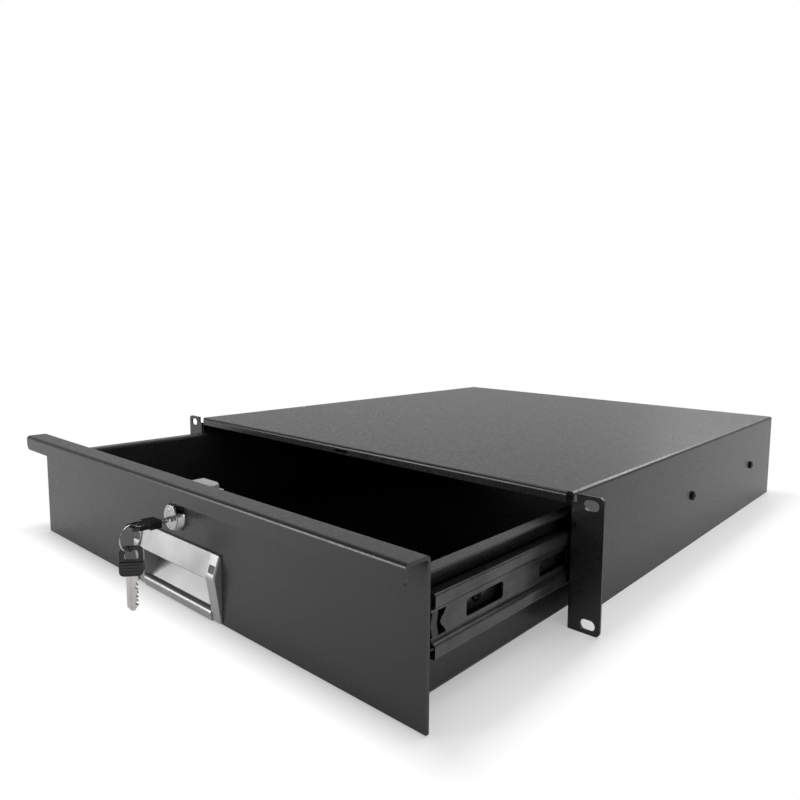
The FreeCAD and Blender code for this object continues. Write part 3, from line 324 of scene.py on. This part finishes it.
def islands(node):
    """Lowest and highest corners of each separate solid in a node."""
    mesh = welded(node)
    left = set(mesh.verts)
    boxes = []
    while left:
        stack = [left.pop()]
        found = []
        while stack:
            vert = stack.pop()
            found.append(vert.co.copy())
            for edge in vert.link_edges:
                other = edge.other_vert(vert)
                if other in left:
                    left.remove(other)
                    stack.append(other)
        boxes.append((Vector([min(co[i] for co in found) for i in range(3)]),
                      Vector([max(co[i] for co in found) for i in range(3)])))
    mesh.free()
    return sorted(boxes, key=lambda corners: tuple(round(v, 5) for v in corners[0]))


def lathe(profile, sides):
    """Turn (radius, height) pairs about Z into a closed mesh."""
    mesh = bmesh.new()
    rings = []
    for radius, height in profile:
        count = sides if radius else 1
        rings.append([mesh.verts.new((radius * math.cos(CIRCLE * i / sides),
                                      radius * math.sin(CIRCLE * i / sides), height))
                      for i in range(count)])
    for low, high in zip(rings, rings[1:]):
        for i in range(sides):
            corners = [low[i % len(low)], low[(i + 1) % len(low)],
                       high[(i + 1) % len(high)], high[i % len(high)]]
            mesh.faces.new(list(dict.fromkeys(corners)))
    return mesh


def carved(mesh, cutter):
    """One bmesh less another. Both are used up."""
    things = []
    for part in (mesh, cutter):
        bmesh.ops.recalc_face_normals(part, faces=part.faces)
        things.append(make_object("carving", part))
    boolean = things[0].modifiers.new("carve", "BOOLEAN")
    boolean.operation = "DIFFERENCE"
    boolean.object = things[1]
    result = bmesh.new()
    result.from_mesh(things[0].evaluated_get(bpy.context.evaluated_depsgraph_get()).data)
    for thing in things:
        data = thing.data
        bpy.data.objects.remove(thing)
        bpy.data.meshes.remove(data)
    return result


def bar(mesh, low, high, taper=1.0):
    """Add a block to a mesh, its lower end drawn in to the given share."""
    (x0, y0, z0), (x1, y1, z1) = low, high
    mid_x, mid_y = (x0 + x1) / 2, (y0 + y1) / 2
    ends = [[mesh.verts.new((mid_x + (x - mid_x) * share, mid_y + (y - mid_y) * share, z))
             for x, y in ((x0, y0), (x1, y0), (x1, y1), (x0, y1))]
            for z, share in ((z0, taper), (z1, 1.0))]
    for end in ends:
        mesh.faces.new(end)
    for i in range(4):
        mesh.faces.new((ends[0][i], ends[0][(i + 1) % 4], ends[1][(i + 1) % 4], ends[1][i]))


def pan_head(radius, head):
    """Pan head with a cross recess, standing on Z = 0."""
    rim = 0.25 * head
    mesh = lathe([(0, 0), (radius - rim / 2, 0), (radius, rim), (radius, 0.45 * head),
                  (0.94 * radius, 0.7 * head), (0.74 * radius, 0.92 * head), (0.4 * radius, head),
                  (0, head)], HEAD_SIDES)
    reach, half = RECESS_REACH * radius, RECESS_HALF * radius
    above = 1.2 * head
    for x, y, floor in ((reach, half, RECESS_FLOORS[0]), (half, reach, RECESS_FLOORS[1])):
        slit = bmesh.new()
        bar(slit, (-x, -y, floor * head), (x, y, above), RECESS_TAPER)
        mesh = carved(mesh, slit)
    return mesh


def threaded_shank(radius, length, inside):
    """Threaded shank below Z = 0, its upper end hidden inside the head."""
    core = THREAD_CORE * radius
    turns = max(2, int(length / (THREAD_PITCH * radius)))
    profile = [(0, -length)]
    for i in range(turns, 0, -1):
        profile += [(core, -i * length / turns), (radius, (0.5 - i) * length / turns)]
    profile += [(core, 0.0), (0, inside)]
    return lathe(profile, SHANK_SIDES)


def screws(node, axis, shank_share, slot=None):
    """Detailed screws in place of a node's plain ones, with their shanks a share of the heads' radius.

    Along X the heads face away from the middle, and along Y they face the back."""
    head = HEAD_HEIGHT[node]
    whole = bmesh.new()
    for low, high in islands(node):
        centre = (low + high) / 2
        radius = (high[axis + 1] - low[axis + 1]) / 2
        outward = math.copysign(1, centre.x) if axis == X else 1.0
        one = pan_head(radius, head)
        absorb(one, threaded_shank(radius * shank_share, high[axis] - low[axis] - head, 0.05 * head))
        seat = centre.copy()
        seat[axis] = high[axis] - head if outward > 0 else low[axis] + head
        direction = Vector([outward if i == axis else 0 for i in range(3)])
        lean = UP.rotation_difference(direction).to_matrix().to_4x4()
        spin = Matrix.Rotation(RECESS_TURN + RECESS_TURN_ALONG * (centre.x + centre.y), 4, "Z")
        one.transform(Matrix.Translation(seat) @ lean @ spin)
        absorb(whole, one)
    dress(node + "_detailed", whole, node, slot)


def balls(node):
    """Round balls in place of a node's faceted ones."""
    whole = bmesh.new()
    for low, high in islands(node):
        made = bmesh.ops.create_icosphere(whole, subdivisions=3, radius=(high.z - low.z) / 2)
        bmesh.ops.translate(whole, verts=made["verts"], vec=(low + high) / 2)
    dress(node + "_round", whole, node)


def split_ring():
    """A coil of flattened spring wire in place of the closed ring."""
    wire_thick, wire_wide = 1.0 * MM, 0.64 * MM
    coil_width = 0.74 * MM          # between the middles of its two ends
    turns = 1.97
    start = 0.9                     # radians
    steps, wire_sides = 128, 10
    low, high = box("key_ring")
    centre = (low + high) / 2
    radius = (high.z - low.z - wire_thick) / 2
    axis = Vector(JOINTS["ring_swing"]["axis"]).normalized()
    level = axis.cross(UP)
    mesh = bmesh.new()
    rows = []
    for i in range(steps + 1):
        share = i / steps
        angle = start + turns * CIRCLE * share
        out = level * math.cos(angle) + UP * math.sin(angle)
        middle = centre + out * radius + axis * coil_width * (share - 0.5)
        rows.append([mesh.verts.new(middle + out * wire_thick / 2 * math.cos(CIRCLE * k / wire_sides)
                                    + axis * wire_wide / 2 * math.sin(CIRCLE * k / wire_sides))
                     for k in range(wire_sides)])
    for one, two in zip(rows, rows[1:]):
        for k in range(wire_sides):
            following = (k + 1) % wire_sides
            mesh.faces.new((one[k], one[following], two[following], two[k]))
    mesh.faces.new(rows[0])
    mesh.faces.new(rows[-1])
    dress("split_ring", mesh, "key_ring")


def flat_blade(width, length, thick):
    """A key blade lying flat, its point towards +Y: bitted along one edge and milled along both faces."""
    half = width / 2
    tip_length, tip = 3.0 * MM, 0.8 * MM
    depths = (1.2, 2.1, 0.8, 1.7, 1.3, 2.2)
    crest = 0.35 * MM
    first_cut = 0.42 * length
    pitch = (length - tip_length - first_cut) / len(depths)
    flat_start, flat_end, peak = 0.15 * pitch, 0.4 * pitch, 0.78 * pitch
    outline = [(-half, 0), (half, 0), (half, first_cut - 0.4 * pitch)]
    for i, depth in enumerate(depths):
        y = first_cut + i * pitch
        bottom = half - depth * MM
        outline += [(bottom, y + flat_start), (bottom, y + flat_end), (half - crest, y + peak)]
    outline += [(tip, length), (-tip, length), (-half, length - tip_length)]
    mesh = bmesh.new()
    base = mesh.faces.new([mesh.verts.new((x, y, -thick / 2)) for x, y in outline])
    top = bmesh.ops.extrude_face_region(mesh, geom=[base])
    bmesh.ops.translate(mesh, vec=(0, 0, thick),
                        verts=[v for v in top["geom"] if isinstance(v, bmesh.types.BMVert)])
    groove_left, groove_right = -0.30 * half, 0.22 * half
    groove_start, groove_end = 0.30 * length, 1.1 * length
    groove_floor = 0.28 * thick
    grooves = bmesh.new()
    for side in (-1, 1):
        low, high = sorted((side * groove_floor, side * thick))
        bar(grooves, (groove_left, groove_start, low), (groove_right, groove_end, high))
    return carved(mesh, grooves)


def key_blades():
    """The cut blade of the key in the lock, and the same blade on the key that hangs from the ring."""
    low, high = box("key_blade")
    size = high - low
    axis = JOINTS["spare_key_swing"]["axis"]
    facing = math.atan2(-axis[0], axis[1])
    hanging = Matrix.Rotation(facing + math.pi / 2, 4, "Z") @ Matrix.Rotation(-math.pi / 2, 4, "X")
    for node, turn in (("key_blade", Matrix.Identity(4)), ("spare_key_blade", hanging)):
        low, high = box(node)
        mesh = flat_blade(*size)
        mesh.transform(Matrix.Translation((low + high) / 2) @ turn
                       @ Matrix.Translation((0, -size.y / 2, 0)))
        dress(node + "_cut", mesh, node)


def pieces():
    """Everything that is dressed. The other nodes show as they are."""
    for node in ("key_bow", "spare_key_bow"):
        softened(node, 0.28 * MM, 3)
    for node in ("lock_trim_ring", "lock_body", "lock_plug", "lock_case", "lock_case_cover", "lock_bolt"):
        softened(node, 0.22 * MM)
    for node in ("handle_cap_left", "handle_cap_right", "handle_shell"):
        softened(node, 0.25 * MM)
    screws("slide_mounting_screws", X, 0.5, "black_zinc")
    screws("slide_drawer_screws", X, 0.51)
    screws("handle_screws", Y, 0.55)
    screws("lock_case_screws", Y, 0.62)
    for node in ("outer_balls_left", "outer_balls_right", "inner_balls_left", "inner_balls_right"):
        balls(node)
    split_ring()
    key_blades()


# ---- Camera ----------------------------------------------------------------------------------------
CAMERA_AT = (0.4220, -0.3590, 0.1517)
CAMERA_AZIMUTH = math.radians(38.863)
CAMERA_ELEVATION = math.radians(6.203)
CAMERA_ROLL = math.radians(0.956)
LENS = 30.0
SENSOR = 36.0
SHIFT = (-0.0847, -0.0133)
NEAREST = 0.01


def camera():
    """Wide lens close to the drawer's right front corner, with a slight roll and an off-centre frame."""
    data = bpy.data.cameras.new("camera")
    data.lens = LENS
    data.sensor_width = SENSOR
    data.shift_x, data.shift_y = SHIFT
    data.clip_start = NEAREST
    level = Vector((math.cos(CAMERA_AZIMUTH), math.sin(CAMERA_AZIMUTH), 0))
    back = level.cross(UP) * math.cos(CAMERA_ELEVATION) + UP * math.sin(CAMERA_ELEVATION)
    roll = Matrix.Rotation(CAMERA_ROLL, 3, back)
    axes = Matrix((roll @ level, roll @ back.cross(level), back)).transposed().to_4x4()
    thing = bpy.data.objects.new("camera", data)
    thing.matrix_world = Matrix.Translation(CAMERA_AT) @ axes
    bpy.context.scene.collection.objects.link(thing)
    bpy.context.scene.camera = thing


# ---- Stage -----------------------------------------------------------------------------------------
FLOOR_FRONT = -6.0
FLOOR_BACK = 2.5
FLOOR_HALF_WIDTH = 8.0
BACKDROP_BEND = 1.2
BACKDROP_TOP = 5.0
BEND_STEP = 10                      # degrees, a whole share of the right angle
PAINTED_SHADOW_REACH = 0.022                # the floor glows fully this far from the object's footprint; nearer it glows less, a painted shadow band
PAINTED_SHADOW_GLOW = 0.35                  # share of the glow inside the footprint, which darkens the floor there as painted shadow
MIRRORED_GLOW = 0.40                # share of the glow that reflections see
WORLD_LIGHT = 0.16

LAMPS = (
    # name, place, aim, size, watts
    ("top_softbox", (0.1, 0.5, 1.9), (0, 0.2, 0), (2.2, 2.2), 30),
    ("left_softbox", (-1.5, -1.9, 0.55), (0, -0.1, 0), (1.3, 0.9), 30),
    ("right_softbox", (1.9, -0.2, 0.45), (0.2, 0.1, 0), (1.0, 0.7), 10),
    ("rim_softbox", (0.3, 2.2, 1.15), (0, 0.1, 0), (2.0, 0.25), 14),
)


def away_from_footprint(shader):
    """Distance of a floor point from the rectangle that the object stands on."""
    low, high = (Vector(corner) for corner in cad_box)
    low.y = box("drawer_tray")[0].y
    middle, half = (low + high) / 2, (high - low) / 2
    position = shader.add("ShaderNodeNewGeometry").outputs["Position"]
    offset = shader.vector("ABSOLUTE", shader.vector("SUBTRACT", position, middle))
    beyond = shader.vector("MAXIMUM", shader.vector("SUBTRACT", offset, (half.x, half.y, 1)), (0, 0, 0))
    return shader.calculate("ShaderNodeVectorMath", "LENGTH", beyond)["Value"]


def floor_paint():
    """Pale paint, which glows white for the camera, and partly for reflections, away from the object.
    Near the object's footprint the glow fades, which paints a narrow band of shade around it; the lamps'
    real shadows show in that band too.
    """
    shader = Shader("studio_floor").set(Roughness=0.6)
    shader.to("Base Color", shader.ramp(shader.noise(3, 2), grey(0.86), grey(0.88)))
    path = shader.add("ShaderNodeLightPath").outputs
    mirrored = shader.number("MULTIPLY", path["Is Glossy Ray"], MIRRORED_GLOW)
    seen = shader.number("MAXIMUM", path["Is Camera Ray"], mirrored)
    # Less glow near the footprint paints a shadow band around the object, over the lamps' real shadows.
    painted_shadow_fade = shader.spread(away_from_footprint(shader), PAINTED_SHADOW_GLOW, 1.0, (0.0, PAINTED_SHADOW_REACH))
    mix = shader.add("ShaderNodeMixShader")
    shader.link(shader.number("MULTIPLY", seen, painted_shadow_fade), mix.inputs["Fac"])
    shader.link(shader.principled.outputs["BSDF"], mix.inputs[1])
    shader.link(shader.add("ShaderNodeEmission").outputs["Emission"], mix.inputs[2])
    shader.link(mix.outputs["Shader"], shader.tree.nodes["Material Output"].inputs["Surface"])
    return shader.material


def studio_floor():
    """Floor under the object, which curves up into a backdrop behind it, as the camera sees it."""
    floor_level = cad_box[0][2]
    profile = [(FLOOR_FRONT, 0.0), (FLOOR_BACK, 0.0)]
    for degrees in range(BEND_STEP, 91, BEND_STEP):
        angle = math.radians(degrees)
        profile.append((FLOOR_BACK + BACKDROP_BEND * math.sin(angle),
                        BACKDROP_BEND * (1 - math.cos(angle))))
    profile.append((FLOOR_BACK + BACKDROP_BEND, BACKDROP_TOP))
    mesh = bmesh.new()
    left, right = ([mesh.verts.new((x, y, z + floor_level)) for y, z in profile]
                   for x in (-FLOOR_HALF_WIDTH, FLOOR_HALF_WIDTH))
    for i in range(len(profile) - 1):
        mesh.faces.new((left[i], right[i], right[i + 1], left[i + 1]))
    floor = make_object("studio_floor", mesh)
    floor.matrix_world = Matrix.Rotation(CAMERA_AZIMUTH, 4, "Z")
    floor.data.shade_smooth()
    floor.data.materials.append(floor_paint())


def lamp(name, place, aim, size, watts):
    """Rectangular softbox."""
    light = bpy.data.lights.new(name, "AREA")
    light.shape = "RECTANGLE"
    light.size, light.size_y = size
    light.energy = watts
    thing = bpy.data.objects.new(name, light)
    thing.location = place
    thing.rotation_euler = (Vector(aim) - Vector(place)).to_track_quat("-Z", "Y").to_euler()
    bpy.context.scene.collection.objects.link(thing)


def world():
    """White for the camera, and a dim even light for everything else."""
    scene = bpy.context.scene
    scene.world = bpy.data.worlds.new("studio")
    scene.world.use_nodes = True
    tree = scene.world.node_tree
    background = tree.nodes["Background"]
    background.inputs["Color"].default_value = (1, 1, 1, 1)
    path = tree.nodes.new("ShaderNodeLightPath")
    level = tree.nodes.new("ShaderNodeMapRange")
    level.inputs["To Min"].default_value = WORLD_LIGHT
    level.inputs["To Max"].default_value = 1.0
    tree.links.new(path.outputs["Is Camera Ray"], level.inputs["Value"])
    tree.links.new(level.outputs["Result"], background.inputs["Strength"])


pieces()
camera()
studio_floor()
world()
for row in LAMPS:
    lamp(*row)
bpy.context.scene.view_settings.view_transform = "Standard"
